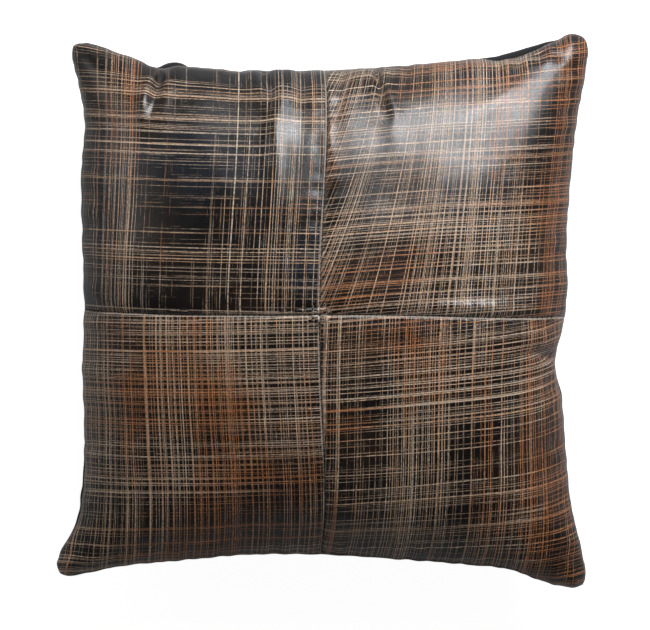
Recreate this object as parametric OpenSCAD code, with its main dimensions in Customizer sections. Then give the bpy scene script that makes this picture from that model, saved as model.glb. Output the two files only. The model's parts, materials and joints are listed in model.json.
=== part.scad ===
// Throw pillow: a square cover of four leather panels over a cloth back, closed by a
// zip in its bottom seam, around a stuffed cloth insert.
// It lies on its back. +Z points up out of the leather front, +Y to the top edge,
// and the origin is the middle of the flat patch that the back rests on.

/* [Cover] */
// Width between the corner tips
cover_w = 432; // [340:2:540]
// Height between the corner tips
cover_h = 444; // [340:2:560]
// How far the left and right edges pull in between the corners
pull_side = 22; // [8:1:40]
// How far the top and bottom edges pull in between the corners
pull_end = 26; // [8:1:40]
// Radius of the arc that each edge bends to
edge_arc_r = 1200; // [900:50:3000]
// Length of the flared ear at each end of an edge
ear_len = 50; // [30:5:80]
// Height of the edge seam above the surface that the pillow lies on
seam_z = 60; // [40:1:90]
// Rise of the front above the edge seam
front_crown = 88; // [50:1:120]
// How far that surface presses the back in
rest_flat = 8; // [4:1:20]
// Section of the padding: 1 is an ellipse, less is squarer
fullness = 0.85; // [0.7:0.05:1]

/* [Leather and cloth] */
// Thickness of the leather
leather_t = 1.2; // [0.8:0.1:2]
// Thickness of the back cloth
back_t = 0.8; // [0.4:0.1:1.5]
// Gap in a closed seam
seam_gap = 0.4; // [0.2:0.1:1]
// Width of the turned allowance in a seam
allowance = 8; // [6:0.5:12]
// Width of the turned allowance beside the zip
zip_allowance = 5; // [4:0.5:6]

/* [Label] */
// Thickness of the label in the left seam
label_t = 0.25; // [0.1:0.05:0.35]
// Width of the label along the seam
label_w = 40; // [20:1:60]
// Distance of the label's middle below the middle of the edge
label_drop = 80; // [40:1:110]
// Length of label that hangs from the seam
label_hang = 18; // [8:1:18]

/* [Stitching] */
// Diameter of the sewing thread
thread_d = 0.6; // [0.3:0.1:1]
// Length of one stitch
stitch_pitch = 5; // [3:0.5:8]
// Distance of the edge seam's stitches from the edge
stitch_inset = 3; // [2:0.5:4]

/* [Zip] */
// Length of the zip's chain
zip_len = 300; // [200:10:320]
// Length of open mouth beyond each end of the tape
mouth_over = 3; // [1:1:6]
// Height of the open mouth
mouth_h = 11; // [9:0.5:16]
// Length over which the mouth closes at each end
mouth_ramp = 20; // [10:1:30]
// Depth of the chain inside the edge
zip_inset = 8; // [6.5:0.5:10]
// Thickness of the zip tape
tape_t = 0.6; // [0.3:0.1:1]
// Length of tape beyond each end of the chain
tape_tail = 10; // [5:1:15]
// Width of one side of the chain
coil_w = 2; // [1.5:0.1:3]
// Thickness of the chain
coil_t = 1.8; // [1.2:0.1:2.5]
// Gap between the two sides of the chain
coil_gap = 1; // [0.6:0.1:1.4]
// Length of an end stop
stop_len = 2.5; // [1.5:0.5:4]

/* [Slider] */
// Length of the slider
slider_len = 11; // [8:0.5:14]
// Thickness of each slider plate
plate_t = 1; // [0.8:0.1:1.5]
// Clearance between the slider and the chain or tape
slide_clear = 0.2; // [0.1:0.05:0.4]
// Distance of the pull's pivot from the outer plate
pivot_rise = 1.5; // [1.3:0.1:2]
// Radius of the pull's cross bar
pivot_r = 0.75; // [0.5:0.05:0.8]
// Radial clearance of the cross bar in its eye
pivot_clear = 0.1; // [0.05:0.05:0.2]
// Length of the pull from its pivot
pull_len = 16; // [12:1:18]
// Width of the pull
pull_w = 5; // [4:0.5:6]
// Thickness of the pull
pull_t = 1.2; // [0.8:0.1:1.4]

/* [Insert] */
// Distance of the insert's edge inside the turned allowances
insert_clear = 4; // [3:0.5:12]
// Distance of the insert under the doubled leather
insert_gap = 0.8; // [0.4:0.1:4]
// Thickness of the insert's cloth
case_t = 0.5; // [0.3:0.1:1]
// Gap between the insert's cloth and its filling
fill_gap = 0.4; // [0.2:0.1:1]
// Length of one stitch in the insert's seam
case_pitch = 12; // [6:1:20]

/* [Hidden] */
$fn = 24;

front = 1;
back = -1;
corner_blunt = 0.02;      // share by which the rounding draws in a corner's tip
half_w = cover_w / 2 / (1 - corner_blunt);  // where the edges would meet, unrounded
half_h = cover_h / 2 / (1 - corner_blunt);
mid_w = cover_w / 2 - pull_side;            // the middles of the edges
mid_h = cover_h / 2 - pull_end;
corner_power = 24;        // how near to its corner the rounding stays
corner_fill = 8;          // depth of the bunched allowances in a corner
panel_steps = 14;         // grid steps across one leather panel
back_steps = 28;          // grid steps across the back
case_steps = 20;          // grid steps across the insert
arc_fn = 720;             // steps in a whole turn of the long edge arc

insert_inset = allowance + insert_clear;
insert_depth = 2 * leather_t + insert_gap;
mouth_len = zip_len + 2 * (tape_tail + mouth_over + mouth_ramp);
lip = mouth_h / 2;                         // half the mouth's height
zip_arc_y = -mid_h - edge_arc_r;           // centre of the bottom edge's arc
chain_r = edge_arc_r + zip_inset;          // the chain's own radius about that centre
coil_out = coil_gap / 2 + coil_w;          // height of the chain's outer side
slot = coil_t / 2 + slide_clear;           // half the gap between the slider's plates
flange_in = coil_out + slide_clear;        // inner face of the slider's flanges
flange_t = 0.9;
slider_half_w = flange_in + flange_t;
eye_r = 2.2;                               // outside of the slider's eye
eye_t = 1.6;                               // thickness of the slider's eye
arm_t = 1.2;                               // thickness of each arm of the pull
arm_gap = 0.2;
pivot_y = -(slot + plate_t + pivot_rise);  // pivot, outwards from the chain
chain_half = zip_len / 2;
slider_x = chain_half - stop_len - slider_len / 2 - 1;
slider_turn = asin(slider_x / chain_r);    // the slider's turn about the arc's centre

// ---- The padded shape ----

// Rise of the edge arc at a distance t from its middle
function arc_rise(t) = edge_arc_r - sqrt(edge_arc_r * edge_arc_r - t * t);

// How far an edge stands out beyond its own middle, reach being half its length and
// rise how far its ends stand out
function edge_out(t, reach, rise) = arc_rise(t)
    + (rise - arc_rise(reach)) * pow(max(0, (abs(t) - reach + ear_len) / ear_len), 3);

// Half the cover's width and height, at s from -1 to 1 across it
function half_x(s) = mid_w + edge_out(s * half_h, half_h, half_w - mid_w);
function half_y(s) = mid_h + edge_out(s * half_w, half_w, half_h - mid_h);

// Share of the corner rounding, and of the bunched allowances, at a point
function blunt(sx, sy) = 1 - corner_blunt * pow(abs(sx * sy), corner_power);
function bunch(sx, sy) = corner_fill * pow(abs(sx * sy), corner_power / 2);

// Place in plan. inset is how far inside the cover's edge, and off opens the cross seam.
function plan(sx, sy, inset, off = [0, 0]) = [
    blunt(sx, sy) * sx * (half_x(sy) - inset[0]) + off[0] * (1 - abs(sx)),
    blunt(sx, sy) * sy * (half_y(sx) - inset[1]) + off[1] * (1 - abs(sy))];

// Height of the padding, from 0 at the edge to 1 in the middle
function dome(sx, sy) = pow((1 - sx * sx) * (1 - sy * sy), fullness / 2);

function smooth(t) = let (c = min(1, max(0, t))) c * c * (3 - 2 * c);

// How far the mouth parts an edge from the seam's height
function part_at(x, sy) = sy < 0
    ? lip * sy * sy * smooth((mouth_len / 2 - abs(x)) / mouth_ramp) : 0;

// A point of a skin that lies depth under the cover. turn lifts it off its turned edge.
function skin(side, sx, sy, inset, depth, turn = 0, off = [0, 0]) =
    let (p = plan(sx, sy, inset, off),
         f = dome(sx, sy),
         edge = seam_gap / 2 + part_at(p[0], sy) * pow(1 - f, 3) + turn * pow(1 - f, 8))
    [p[0], p[1], side == front
        ? seam_z + edge + (front_crown - depth) * f
        : max(depth, seam_z - edge - (seam_z + rest_flat - depth) * f)];

// Inset on both axes, with what a corner's bunched allowances add to it
function bunched(inset, sx, sy) = [inset[0] + bunch(sx, sy), inset[1] + bunch(sx, sy)];

// ---- Closed solids from two grids of points ----

function flip(triangles, yes) = yes ? [for (t = triangles) [t[2], t[1], t[0]]] : triangles;

// Both halves of every cell, split along the diagonal that points to the nearest corner
function cells(n, m, whole) = [
    for (i = [0 : n - 2], j = [0 : m - 2])
        let (a = i * m + j, b = a + m, c = b + 1, d = a + 1,
             out = !whole || (i < (n - 1) / 2) == (j < (m - 1) / 2))
        each out ? [[a, c, b], [a, d, c]] : [[a, d, b], [b, d, c]]];

// The grid's border, once round
function border(n, m) = concat(
    [for (i = [0 : n - 2]) [i, 0]], [for (j = [0 : m - 2]) [n - 1, j]],
    [for (i = [n - 1 : -1 : 1]) [i, m - 1]], [for (j = [m - 1 : -1 : 1]) [0, j]]);

function shifted(triangles, by) = [for (t = triangles) [t[0] + by, t[1] + by, t[2] + by]];

// Triangles between two rows of points, given as lists of their numbers
function strip(p, q) = [for (k = [0 : len(p) - 2])
    each [[p[k], p[k + 1], q[k + 1]], [p[k], q[k + 1], q[k]]]];

function closed(list) = concat(list, [list[0]]);

function grid(su, sv, point) = [for (x = su, y = sv) point(x, y)];

// A solid between an outer and an inner grid
module between(outer, inner, n, m, reversed, whole = true) {
    ring = closed([for (b = border(n, m)) b[0] * m + b[1]]);
    skin_cells = cells(n, m, whole);
    polyhedron(concat(outer, inner), flip(concat(
        skin_cells,
        shifted(flip(skin_cells, true), n * m),
        strip(ring, [for (k = ring) k + n * m])), reversed));
}

// A solid between two grids whose outer border, from number first to last of the ring,
// turns in to a flat allowance: under and over are its two rows of inner points
module turned(outer, inner, n, m, reversed, whole, ring, under, over) {
    size = n * m;
    count = len(under);
    plain = [for (b = border(n, m)) b[0] * m + b[1]];
    low = [for (k = [0 : count - 1]) 2 * size + k];
    high = [for (k = low) k + count];
    inside = [for (k = ring) k + size];
    skin_cells = cells(n, m, whole);
    open = len(ring) < len(plain) + 1;
    rest = open ? [for (k = concat([ring[count - 1]],
        [for (j = [m - 2 : -1 : 1]) j], [for (i = [0 : n - 1]) i * m])) k] : [];
    polyhedron(concat(outer, inner, under, over), flip(concat(
        skin_cells,
        shifted(flip(skin_cells, true), size),
        strip(ring, open ? low : closed([for (k = [0 : count - 2]) low[k]])),
        strip(open ? low : closed([for (k = [0 : count - 2]) low[k]]),
              open ? high : closed([for (k = [0 : count - 2]) high[k]])),
        strip(open ? high : closed([for (k = [0 : count - 2]) high[k]]), inside),
        open ? strip(rest, [for (k = rest) k + size]) : [],
        open ? [[ring[0], low[0], high[0]], [ring[0], high[0], inside[0]]] : [],
        open ? [[ring[count - 1], inside[count - 1], high[count - 1]],
                [ring[count - 1], high[count - 1], low[count - 1]]] : []), reversed));
}

// ---- Cover ----

// Steps across a whole skin, and from the cross seam out, closer together at the edge
function across(steps) = [for (k = [0 : steps]) sin(180 * k / steps - 90)];
function outwards(q) = concat([0, allowance / mid_w, (allowance + 1) / mid_w],
    [for (k = [1 : panel_steps]) sin(90 * k / panel_steps)]) * q;

function end_allowance(sy) = sy < 0 ? zip_allowance : allowance;

// One leather panel, in the quarter that qx and qy point to
module panel(qx, qy) {
    su = outwards(qx);
    sv = outwards(qy);
    n = len(su);
    off = [qx, qy] * seam_gap / 2;
    t = leather_t;
    outer = [for (x = su, y = sv) skin(front, x, y, [0, 0], 0, 0, off)];
    // The turned allowances double the leather beside the cross seam
    inner = [for (i = [0 : n - 1], j = [0 : n - 1])
        skin(front, su[i], sv[j], bunched([t, t], su[i], sv[j]),
             min(i, j) < 2 ? 2 * t : t, t, off)];
    edge = concat([for (j = [0 : n - 1]) [n - 1, j]], [for (i = [n - 2 : -1 : 0]) [i, n - 1]]);
    ring = [for (b = edge) b[0] * n + b[1]];
    turned_in = [allowance, end_allowance(qy)];
    under = [for (b = edge) skin(front, su[b[0]], sv[b[1]],
        bunched(turned_in, su[b[0]], sv[b[1]]), 0, 0, off)];
    turned(outer, inner, n, n, qx * qy < 0, false, ring, under,
           [for (p = under) p + [0, 0, t]]);
}

module front_upper_left() { color("#4a3528") panel(-1, 1); }
module front_upper_right() { color("#54392a") panel(1, 1); }
module front_lower_left() { color("#40291f") panel(-1, -1); }
module front_lower_right() { color("#3c2820") panel(1, -1); }

module back_panel() {
    s = across(back_steps);
    n = len(s);
    t = back_t;
    outer = [for (x = s, y = s) skin(back, x, y, [0, 0], 0)];
    inner = [for (x = s, y = s) skin(back, x, y, bunched([t, t], x, y), t, t)];
    edge = closed(border(n, n));
    ring = [for (b = edge) b[0] * n + b[1]];
    under = [for (b = edge) let (x = s[b[0]], y = s[b[1]])
        skin(back, x, y, bunched([allowance, end_allowance(y)], x, y), 0)];
    // The surface that it lies on trims it to one flat patch
    color("#121214") difference() {
        turned(outer, inner, n, n, true, true, ring, under, [for (p = under) p - [0, 0, t]]);
        translate([-mid_w, -mid_h, -10]) cube([2 * mid_w, 2 * mid_h, 10]);
    }
}

// A section swept along an arc of radius edge_arc_r, from angle low to high, about the
// centre of the left edge's arc. The section's x is the depth inside the edge.
module along_left_edge(low, high) {
    translate([-mid_w - edge_arc_r, 0, seam_z]) rotate([0, 0, low])
        rotate_extrude(angle = high - low, $fn = arc_fn)
            translate([edge_arc_r, 0]) children();
}

// A blank label, sewn into the left seam, that hangs down inside the back
module care_label() {
    bend = allowance + 1;
    low = -asin((label_drop + label_w / 2) / edge_arc_r);
    high = -asin((label_drop - label_w / 2) / edge_arc_r);
    color("#e8e6e0") along_left_edge(low, high) {
        translate([stitch_inset - 1, -label_t / 2])
            square([bend + label_t - stitch_inset + 1, label_t]);
        translate([bend, -label_hang]) square([label_t, label_hang]);
    }
}

// ---- Stitching ----

function stitches(from, to, pitch) = [for (k = [0 : floor((to - from) / pitch)])
    from + k * pitch];

// Stitches down through the two turned allowances, at places given as s pairs
module edge_stitches(places) {
    reach = seam_gap / 2 + thread_d / 2;
    color("#1a1512") for (s = places) {
        p = plan(s[0], s[1], bunched([stitch_inset, stitch_inset], s[0], s[1]));
        translate([p[0], p[1], seam_z - reach - back_t])
            cylinder(d = thread_d, h = 2 * reach + back_t + leather_t);
    }
}

end_s = [for (x = stitches(-half_w + 2 * allowance, half_w - 2 * allowance, stitch_pitch))
    x / half_w];
side_s = [for (y = stitches(-half_h + 2 * allowance, half_h - 2 * allowance, stitch_pitch))
    y / half_h];

module edge_thread_top() { edge_stitches([for (s = end_s) [s, 1]]); }
module edge_thread_left() { edge_stitches([for (s = side_s) [-1, s]]); }
module edge_thread_right() { edge_stitches([for (s = side_s) [1, s]]); }
module edge_thread_bottom() {
    edge_stitches([for (s = end_s) if (abs(s) * half_w > mouth_len / 2 + thread_d) [s, -1]]);
}

// Stitches across the cross seam, through the doubled leather under its groove
module cross_stitches(places, along_x) {
    length = 2 * (leather_t + thread_d) + seam_gap;
    color("#1a1512") for (s = places) {
        p = skin(front, s[0], s[1], [0, 0], leather_t);
        translate(p) rotate(along_x ? [90, 0, 0] : [0, 90, 0])
            cylinder(d = thread_d, h = length, center = true);
    }
}

seam_run = 2 * allowance; // how far the cross seams' first stitches are from an edge

module seam_thread_upper() {
    cross_stitches([for (y = stitches(stitch_pitch, mid_h - seam_run, stitch_pitch))
        [0, y / mid_h]], false);
}
module seam_thread_lower() {
    cross_stitches([for (y = stitches(stitch_pitch, mid_h - seam_run, stitch_pitch))
        [0, -y / mid_h]], false);
}
module seam_thread_middle() {
    cross_stitches([for (x = stitches(seam_run - mid_w, mid_w - seam_run, stitch_pitch))
        [x / mid_w, 0]], true);
}

// ---- Zip ----

// A section swept along the bottom edge's arc, length long. The section's x is the
// depth inside the edge, and its y the height from the edge seam.
module along_zip(length) {
    turn = 2 * asin(length / 2 / chain_r);
    translate([0, zip_arc_y, seam_z]) rotate([0, 0, 90 - turn / 2])
        rotate_extrude(angle = turn, $fn = arc_fn)
            translate([edge_arc_r, 0]) children();
}

// Places a child made at the chain's middle at a distance x along it
module at_zip(x) {
    translate([0, zip_arc_y, seam_z]) rotate([0, 0, -asin(x / chain_r)])
        translate([0, chain_r, 0]) children();
}

// Height of the mouth's turned edge, and of the tape that lies on it
function turned_top(cloth) = seam_gap / 2 + lip + cloth + 0.1;

// Half the tape: up from the chain, then out over the turned allowance
module tape_section(side, cloth) {
    top = turned_top(cloth);
    outer_end = leather_t + 0.6;
    polygon([for (p = [
        [zip_inset - tape_t / 2, coil_out], [zip_inset + tape_t / 2, coil_out],
        [zip_inset + tape_t / 2, top + tape_t], [outer_end, top + tape_t],
        [outer_end, top], [zip_inset - tape_t / 2, top]]) [p[0], p[1] * side]]);
}

module coil_section(side) {
    y = side > 0 ? coil_gap / 2 : -coil_out;
    translate([zip_inset - coil_t / 2, y]) square([coil_t, coil_w]);
}

module zip_tape_front() {
    color("#141210") along_zip(zip_len + 2 * tape_tail) tape_section(front, leather_t);
}
module zip_tape_back() {
    color("#141210") along_zip(zip_len + 2 * tape_tail) tape_section(back, back_t);
}

coil_len = zip_len - 2 * stop_len;

module zip_coil_front() { color("#1c1a18") along_zip(coil_len) coil_section(front); }
module zip_coil_back() { color("#1c1a18") along_zip(coil_len) coil_section(back); }

// A stop clamped on the tape's edge, from height low to high, with the tape's slot
module stop(low, high) {
    depth = coil_t + 0.6;
    difference() {
        translate([-stop_len / 2, -depth / 2, low]) cube([stop_len, depth, high - low]);
        for (side = [-1, 1]) translate([-stop_len, -tape_t / 2 - 0.05,
                side > 0 ? coil_out - 0.05 : -coil_out - 2])
            cube([2 * stop_len, tape_t + 0.1, 2.05]);
    }
}

stop_x = chain_half - stop_len / 2 + 0.1;

module zip_top_stops() {
    color("#8a8378") at_zip(stop_x) {
        stop(coil_gap / 2, coil_out + 0.8);
        stop(-coil_out - 0.8, -coil_gap / 2);
    }
}
module zip_bottom_stop() {
    color("#8a8378") at_zip(-stop_x) stop(-coil_out - 0.8, coil_out + 0.8);
}

// Outline of a slider plate: broad at the end that parts the chain, narrower behind
module plate_outline() {
    nose = slider_len / 2;
    r = 1.6;
    difference() {
        union() {
            translate([-nose, -slider_half_w + 0.4]) square([slider_len, 2 * slider_half_w - 0.8]);
            translate([-nose + 2 * r, -slider_half_w])
                square([slider_len - 3 * r, 2 * slider_half_w]);
            for (y = [-1, 1]) translate([nose - r, y * (slider_half_w - r)]) circle(r);
        }
        // The notch between the nose's two cheeks
        translate([nose + 0.6, 0]) circle(1.2);
    }
}

// A slab of the given 2D outline, from depth low to high
module slab(low, high) {
    translate([0, high, 0]) rotate([90, 0, 0]) linear_extrude(high - low) children();
}

module slider_body() {
    tape_half = tape_t / 2 + slide_clear;
    fin = coil_gap / 2 - slide_clear / 2;
    slab(-slot - plate_t, -slot) plate_outline();
    slab(slot, slot + plate_t) plate_outline();
    // The post that parts the two sides of the chain
    translate([slider_len / 2 - 4.6, -slot - plate_t / 2, -fin])
        cube([3, 2 * slot + plate_t, 2 * fin]);
    // Flanges that keep the chain in
    for (side = [-1, 1], face = [-1, 1])
        translate([-slider_len / 2 + 3.2, face > 0 ? tape_half : -slot - 0.1,
                   side > 0 ? flange_in : -slider_half_w])
            cube([slider_len - 4.8, slot + 0.1 - tape_half, flange_t]);
}

// The eye that the pull's cross bar turns in
module slider_eye() {
    difference() {
        union() {
            translate([-eye_r, -slot - plate_t - pivot_rise, -eye_t / 2])
                cube([2 * eye_r, pivot_rise + plate_t / 2, eye_t]);
            translate([0, pivot_y, 0]) cylinder(r = eye_r, h = eye_t, center = true);
        }
        translate([0, pivot_y, 0])
            cylinder(r = pivot_r + pivot_clear, h = 2 * eye_t, center = true);
    }
}

module zip_slider() {
    color("#2a2624") at_zip(slider_x) {
        slider_body();
        slider_eye();
    }
}

// The pull, lying back over the closed chain
module zip_pull() {
    inner = eye_t / 2 + arm_gap;
    outer = inner + arm_t;
    tab = eye_r + 0.4;
    tip_r = pull_w / 2;
    color("#5a4a3a") at_zip(slider_x) translate([0, pivot_y, 0]) {
        cylinder(r = pivot_r, h = 2 * outer, center = true);
        for (side = [-1, 1]) translate([0, 0, side > 0 ? inner : -outer]) {
            cylinder(r = pivot_r + 0.3, h = arm_t);
            translate([-tab - 0.5, -pull_t / 2, 0]) cube([tab + 0.5, pull_t, arm_t]);
        }
        slab(-pull_t / 2, pull_t / 2) difference() {
            union() {
                translate([-pull_len + tip_r, -tip_r])
                    square([pull_len - tip_r - tab, 2 * tip_r]);
                translate([-pull_len + tip_r, 0]) circle(tip_r);
            }
            translate([-pull_len + tip_r, 0]) circle(1.1);
        }
    }
}

// Stitches down through the tape and the turned allowance under it
module zip_stitches(side, cloth) {
    x_end = chain_half - stop_len;
    low = seam_gap / 2 + lip - thread_d / 2;
    high = turned_top(cloth) + tape_t + thread_d / 2;
    color("#1a1512") for (x = stitches(-x_end, x_end, stitch_pitch)) at_zip(x)
        translate([0, stitch_inset - zip_inset, side > 0 ? low : -high])
            cylinder(d = thread_d, h = high - low);
}

module zip_thread_front() { zip_stitches(front, leather_t); }
module zip_thread_back() { zip_stitches(back, back_t); }

// ---- Insert ----

function case_skin(side, x, y, more) =
    skin(side, x, y, bunched([1, 1] * (insert_inset + more), x, y), insert_depth + more);

module case_half(side) {
    s = across(case_steps);
    color("#d8d4c8") between([for (x = s, y = s) case_skin(side, x, y, 0)],
        [for (x = s, y = s) case_skin(side, x, y, case_t)],
        len(s), len(s), side == back);
}

module insert_case_front() { case_half(front); }
module insert_case_back() { case_half(back); }

module insert_filling() {
    s = across(case_steps);
    more = case_t + fill_gap;
    color("#f2f0ea") between([for (x = s, y = s) case_skin(front, x, y, more)],
        [for (x = s, y = s) case_skin(back, x, y, more)], len(s), len(s), false);
}

// Stitches that close the insert's edge
module insert_thread() {
    inset = insert_inset + case_t / 2;
    ends = [for (x = stitches(-half_w + 3 * allowance, half_w - 3 * allowance, case_pitch))
        x / half_w];
    sides = [for (y = stitches(-half_h + 3 * allowance, half_h - 3 * allowance, case_pitch))
        y / half_h];
    color("#c8c4b8") for (s = concat([for (a = ends, b = [-1, 1]) [a, b]],
                                     [for (b = [-1, 1], a = sides) [b, a]])) {
        p = case_skin(front, s[0], s[1], case_t / 2);
        rise = abs(p[2] - seam_z) + thread_d;
        translate([p[0], p[1], seam_z - rise]) cylinder(d = case_t * 0.8, h = 2 * rise);
    }
}

front_upper_left();
front_upper_right();
front_lower_left();
front_lower_right();
back_panel();
seam_thread_upper();
seam_thread_lower();
seam_thread_middle();
edge_thread_top();
edge_thread_left();
edge_thread_right();
edge_thread_bottom();
zip_tape_front();
zip_tape_back();
zip_coil_front();
zip_coil_back();
zip_top_stops();
zip_bottom_stop();
zip_slider();
zip_pull();
zip_thread_front();
zip_thread_back();
care_label();
insert_case_front();
insert_case_back();
insert_thread();
insert_filling();
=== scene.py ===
import json
import math

import bmesh
import bpy
import numpy as np
from bpy.props import FloatProperty, FloatVectorProperty, PointerProperty
from mathutils import Matrix, Vector


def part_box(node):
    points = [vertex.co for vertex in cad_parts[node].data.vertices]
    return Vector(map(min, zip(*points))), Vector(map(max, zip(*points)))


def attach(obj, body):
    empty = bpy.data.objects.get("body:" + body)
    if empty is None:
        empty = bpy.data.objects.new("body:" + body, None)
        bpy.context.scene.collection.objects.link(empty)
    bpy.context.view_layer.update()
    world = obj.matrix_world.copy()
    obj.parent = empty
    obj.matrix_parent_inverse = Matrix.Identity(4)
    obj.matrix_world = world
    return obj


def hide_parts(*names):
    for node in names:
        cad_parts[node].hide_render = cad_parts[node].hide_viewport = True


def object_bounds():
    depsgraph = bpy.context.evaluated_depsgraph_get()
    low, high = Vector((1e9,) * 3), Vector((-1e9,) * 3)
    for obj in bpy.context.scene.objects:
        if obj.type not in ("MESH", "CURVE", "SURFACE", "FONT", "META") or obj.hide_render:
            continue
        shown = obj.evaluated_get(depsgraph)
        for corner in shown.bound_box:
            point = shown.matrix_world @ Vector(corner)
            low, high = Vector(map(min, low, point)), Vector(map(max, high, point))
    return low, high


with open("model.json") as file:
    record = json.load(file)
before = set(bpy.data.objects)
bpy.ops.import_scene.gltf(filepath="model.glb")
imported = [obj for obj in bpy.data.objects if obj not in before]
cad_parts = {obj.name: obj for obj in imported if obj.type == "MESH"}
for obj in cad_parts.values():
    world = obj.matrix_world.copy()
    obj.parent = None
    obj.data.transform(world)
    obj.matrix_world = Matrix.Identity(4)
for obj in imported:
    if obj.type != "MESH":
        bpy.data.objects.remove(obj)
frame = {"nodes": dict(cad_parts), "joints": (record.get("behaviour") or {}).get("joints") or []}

bl_info = {
    "name": "Leather Throw Pillow",
    "version": (1, 0, 0),
    "blender": (4, 5, 0),
    "location": "View3D > Sidebar > Pillow",
    "description": "Builds a patchwork leather throw pillow around its frame",
    "category": "Object",
}

# ---- Places that come from the frame, in metres ----

CAD_LOW, CAD_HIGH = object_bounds()
HALF_W, HALF_H = CAD_HIGH.x, CAD_HIGH.y
SEAM_Z = (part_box("back_panel")[1].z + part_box("front_upper_left")[0].z) / 2
CROWN = CAD_HIGH.z - SEAM_Z
BODY = "cushion"
MM = 0.001
TAPE_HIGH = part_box("zip_tape_front")[1]
LEATHER_T, TAPE_T = 1.2 * MM, 0.6 * MM
TURN_IN = 7 * MM            # width of the turned allowances
TURNED_GAP = 0.3 * MM       # from the seam's height to a turned allowance
MOUTH = TAPE_HIGH.z - SEAM_Z - TAPE_T - LEATHER_T - TURNED_GAP     # half the zip's mouth
MOUTH_END = TAPE_HIGH.x + 23 * MM      # where the mouth has closed
TAPE_END = TAPE_HIGH.x + 19.5 * MM     # how far the tape's tails reach

# The front's outline. Each side is (along, out) in millimetres, and each cross seam ends
# at the side's place in SEAM_END.
OUTLINE = {
    "top": [(-206, 224), (-180, 218), (-155, 209), (-125, 203), (-90, 199.5), (-30, 197.5),
            (30, 199), (75, 202.5), (120, 207), (145, 210), (175, 220), (200, 227.5), (218.5, 230)],
    "bottom": [(-217, -215), (-190, -209), (-160, -203), (-120, -199.5), (-60, -194.5),
               (0, -194.5), (60, -198), (120, -202.5), (155, -206.5), (180, -216), (217.5, -224)],
    "left": [(-215, -217), (-192, -212), (-170, -200), (-140, -194.5), (-90, -191.5),
             (-45, -193), (0, -191.5), (60, -193), (115, -194), (160, -191.5), (185, -196),
             (224, -206)],
    "right": [(-224, 217.5), (-190, 211), (-165, 205), (-110, 199), (-65, 195.5), (-37, 190),
              (-12, 195.5), (15, 199), (60, 198.5), (110, 202), (160, 207.5), (195, 214),
              (230, 218.5)],
}
# Where each cross seam ends along a side, in millimetres
SEAM_END = {"top": 3, "bottom": -0.5, "left": 4, "right": -1.3}
CORNER_R = 17        # radius of a corner's tip
FLAT = (450, 456)    # width and height of the cut cover, laid flat
HALF_FLAT = np.array(FLAT) / 2 * MM
HALF_OF = {"top": HALF_W, "bottom": HALF_W, "left": HALF_H, "right": HALF_H}

# Where an edge seam is tucked in, so that the back shows beyond it:
# (side, middle along it, half its length, depth), in millimetres
TUCKS = [
    ("top", -133, 15, 4.5), ("top", 164, 36, 5.5), ("top", -68, 9, 1.5), ("right", -85, 85, 1.6),
    ("left", -150, 50, 2.2), ("bottom", 0, 190, 1.2),
]

# Creases: start, end (x, y), depth, half-width, and the rise of the swelling on the left
# and on the right of it, looking from start to end. All in millimetres.
CREASES = [
    ((-124, 206), (-142, 146), 7.0, 4.2, 2.5, 4.5),
    ((-48, 203), (-35, 156), 8.0, 4.0, 4.5, 1.5),
    ((-12, 202), (-20, 110), 2.4, 6.0, 1.0, 3.5),
    ((44, 203), (54, 146), 7.0, 3.2, 4.0, 2.5),
    ((17, 200), (10, 120), 2.0, 5.0, 1.0, 2.4),
    ((128, 207), (216, 208), 4.5, 3.6, 2.0, 1.5),
    ((200, -36), (152, -30), 9.0, 4.5, 5.0, 3.5),
    ((-196, 2), (-170, 5), 2.0, 4.0, 1.2, 1.2),
    ((-205, -190), (-150, -160), 1.6, 8.0, 1.2, 1.2),
    ((205, -200), (150, -165), 1.6, 9.0, 1.2, 1.2),
]

# Soft swellings: middle (x, y), half-width, half-length, turn in degrees, and rise
SWELLS = [
    (-36, 138, 6.5, 38, 0, 3.2), (-141, 166, 5.5, 15, -10, 3.0), (6, 140, 6, 26, 2, 1.6),
    (58, 150, 8, 20, -4, 1.6), (121, 5.5, 42, 5, 0, 2.2), (172, -18, 14, 8, 0, 1.6),
    (150, 178, 34, 12, 35, 1.6),
]


def size(name, description, default):
    """A length that a user can set."""
    return FloatProperty(name=name, description=description, default=default, unit="LENGTH")


def tint(name, description, default):
    """A colour that a user can set."""
    return FloatVectorProperty(name=name, description=description, default=default,
                               subtype="COLOR")


class PillowSettings(bpy.types.PropertyGroup):
    """Sizes and colours of the pillow."""

    leather: size("Leather", "Thickness of the leather", LEATHER_T)
    cloth: size("Back cloth", "Thickness of the back cloth", 0.8 * MM)
    groove: size("Groove", "Depth of a cross seam's groove", 2.6 * MM)
    stitch: size("Stitch", "Length of one stitch", 5 * MM)
    thread: size("Thread", "Diameter of the thread", 0.6 * MM)
    grid: size("Grid", "Spacing of the points on the leather", 1.4 * MM)
    tooth: size("Tooth pitch", "Pitch of the zip's chain", 1.5 * MM)
    base: tint("Base", "Colour of the bare leather", (0.0042, 0.0028, 0.0023))
    navy: tint("Navy", "Colour of the blue-grey patches", (0.010, 0.012, 0.018))
    umber: tint("Umber", "Colour of the brown patches", (0.022, 0.011, 0.006))
    cream: tint("Cream", "Colour of the palest strokes", (0.90, 0.71, 0.53))
    tan: tint("Tan", "Colour of the common strokes", (0.78, 0.47, 0.28))
    rust: tint("Rust", "Colour of the warm strokes", (0.66, 0.275, 0.115))
    # Edge colours the pale line along each cross seam's lip: partly worn leather, partly a painted
    # highlight along the fold
    edge: tint("Edge", "Colour of the leather's pale lip", (0.62, 0.55, 0.47))


# ---- The padded shape ----

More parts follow.
